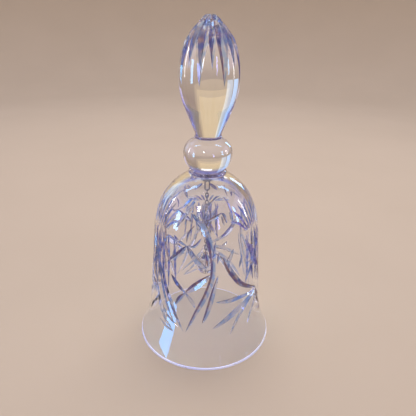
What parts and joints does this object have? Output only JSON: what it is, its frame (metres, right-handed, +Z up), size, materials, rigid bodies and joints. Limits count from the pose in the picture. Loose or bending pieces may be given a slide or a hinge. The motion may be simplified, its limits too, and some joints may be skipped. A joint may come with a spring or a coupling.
{
  "type": "glass bell",
  "caption": "Clear cut-glass table bell with a fluted bud handle and a faceted clapper on a fine wire chain.",
  "frame": {"origin": "middle of the bell's mouth, on the surface that it stands on", "axes": "+Z up through the handle; the hanger's wire loop lies in the XZ plane"},
  "size_m": [0.078, 0.078, 0.175],
  "materials": {
    "cut_glass": "polished",
    "clear_cement": "satin",
    "bright_wire": "polished",
    "bead_glass": "polished"
  },
  "bodies": {
    "bell": {"bell_bowl": "cut_glass", "merese": "cut_glass", "ball_knop": "cut_glass", "neck_wafer": "cut_glass", "bud_handle": "cut_glass", "hanger_cement": "clear_cement", "hanger_loop": "bright_wire"},
    "link_01": {"chain_link_01": "bright_wire"},
    "link_02": {"chain_link_02": "bright_wire"},
    "link_03": {"chain_link_03": "bright_wire"},
    "link_04": {"chain_link_04": "bright_wire"},
    "link_05": {"chain_link_05": "bright_wire"},
    "link_06": {"chain_link_06": "bright_wire"},
    "link_07": {"chain_link_07": "bright_wire"},
    "link_08": {"chain_link_08": "bright_wire"},
    "link_09": {"chain_link_09": "bright_wire"},
    "link_10": {"chain_link_10": "bright_wire"},
    "link_11": {"chain_link_11": "bright_wire"},
    "link_12": {"chain_link_12": "bright_wire"},
    "link_13": {"chain_link_13": "bright_wire"},
    "link_14": {"chain_link_14": "bright_wire"},
    "link_15": {"chain_link_15": "bright_wire"},
    "link_16": {"chain_link_16": "bright_wire"},
    "link_17": {"chain_link_17": "bright_wire"},
    "link_18": {"chain_link_18": "bright_wire"},
    "link_19": {"chain_link_19": "bright_wire"},
    "clapper": {"clapper_pin": "bright_wire", "clapper_cap": "bright_wire", "clapper_bead": "bead_glass"}
  },
  "joints": [
    {"name": "link_01_swing", "type": "hinge", "parent": "bell", "child": "link_01", "pos_m": [0, 0, 0.0904], "axis": [1, 0, 0], "range_deg": [-26, 26]},
    {"name": "link_02_swing", "type": "hinge", "parent": "link_01", "child": "link_02", "pos_m": [0, 0, 0.0884], "axis": [0, 1, 0], "range_deg": [-27.5, 27.5]},
    {"name": "link_03_swing", "type": "hinge", "parent": "link_02", "child": "link_03", "pos_m": [0, 0, 0.08633], "axis": [-1, 0, 0], "range_deg": [-28.5, 28.5]},
    {"name": "link_04_swing", "type": "hinge", "parent": "link_03", "child": "link_04", "pos_m": [0, 0, 0.08427], "axis": [0, -1, 0], "range_deg": [-30.5, 30.5]},
    {"name": "link_05_swing", "type": "hinge", "parent": "link_04", "child": "link_05", "pos_m": [0, 0, 0.0822], "axis": [1, 0, 0], "range_deg": [-32, 32]},
    {"name": "link_06_swing", "type": "hinge", "parent": "link_05", "child": "link_06", "pos_m": [0, 0, 0.08013], "axis": [0, 1, 0], "range_deg": [-34, 34]},
    {"name": "link_07_swing", "type": "hinge", "parent": "link_06", "child": "link_07", "pos_m": [0, 0, 0.07805], "axis": [-1, 0, 0], "range_deg": [-36.5, 36.5]},
    {"name": "link_08_swing", "type": "hinge", "parent": "link_07", "child": "link_08", "pos_m": [0, 0, 0.07598], "axis": [0, -1, 0], "range_deg": [-39, 39]},
    {"name": "link_09_swing", "type": "hinge", "parent": "link_08", "child": "link_09", "pos_m": [0, 0, 0.07391], "axis": [1, 0, 0], "range_deg": [-42, 42]},
    {"name": "link_10_swing", "type": "hinge", "parent": "link_09", "child": "link_10", "pos_m": [0, 0, 0.07185], "axis": [0, 1, 0], "range_deg": [-46, 46]},
    {"name": "link_11_swing", "type": "hinge", "parent": "link_10", "child": "link_11", "pos_m": [0, 0, 0.06978], "axis": [-1, 0, 0], "range_deg": [-50, 50]},
    {"name": "link_12_swing", "type": "hinge", "parent": "link_11", "child": "link_12", "pos_m": [0, 0, 0.06771], "axis": [0, -1, 0], "range_deg": [-50, 50]},
    {"name": "link_13_swing", "type": "hinge", "parent": "link_12", "child": "link_13", "pos_m": [0, 0, 0.06563], "axis": [1, 0, 0], "range_deg": [-50, 50]},
    {"name": "link_14_swing", "type": "hinge", "parent": "link_13", "child": "link_14", "pos_m": [0, 0, 0.06356], "axis": [0, 1, 0], "range_deg": [-50, 50]},
    {"name": "link_15_swing", "type": "hinge", "parent": "link_14", "child": "link_15", "pos_m": [0, 0, 0.0615], "axis": [-1, 0, 0], "range_deg": [-50, 50]},
    {"name": "link_16_swing", "type": "hinge", "parent": "link_15", "child": "link_16", "pos_m": [0, 0, 0.05942], "axis": [0, -1, 0], "range_deg": [-50, 50]},
    {"name": "link_17_swing", "type": "hinge", "parent": "link_16", "child": "link_17", "pos_m": [0, 0, 0.05736], "axis": [1, 0, 0], "range_deg": [-50, 50]},
    {"name": "link_18_swing", "type": "hinge", "parent": "link_17", "child": "link_18", "pos_m": [0, 0, 0.05529], "axis": [0, 1, 0], "range_deg": [-50, 50]},
    {"name": "link_19_swing", "type": "hinge", "parent": "link_18", "child": "link_19", "pos_m": [0, 0, 0.05321], "axis": [-1, 0, 0], "range_deg": [-50, 50]},
    {"name": "clapper_swing", "type": "hinge", "parent": "link_19", "child": "clapper", "pos_m": [0, 0, 0.05115], "axis": [0, -1, 0], "range_deg": [-50, 50]}
  ]
}
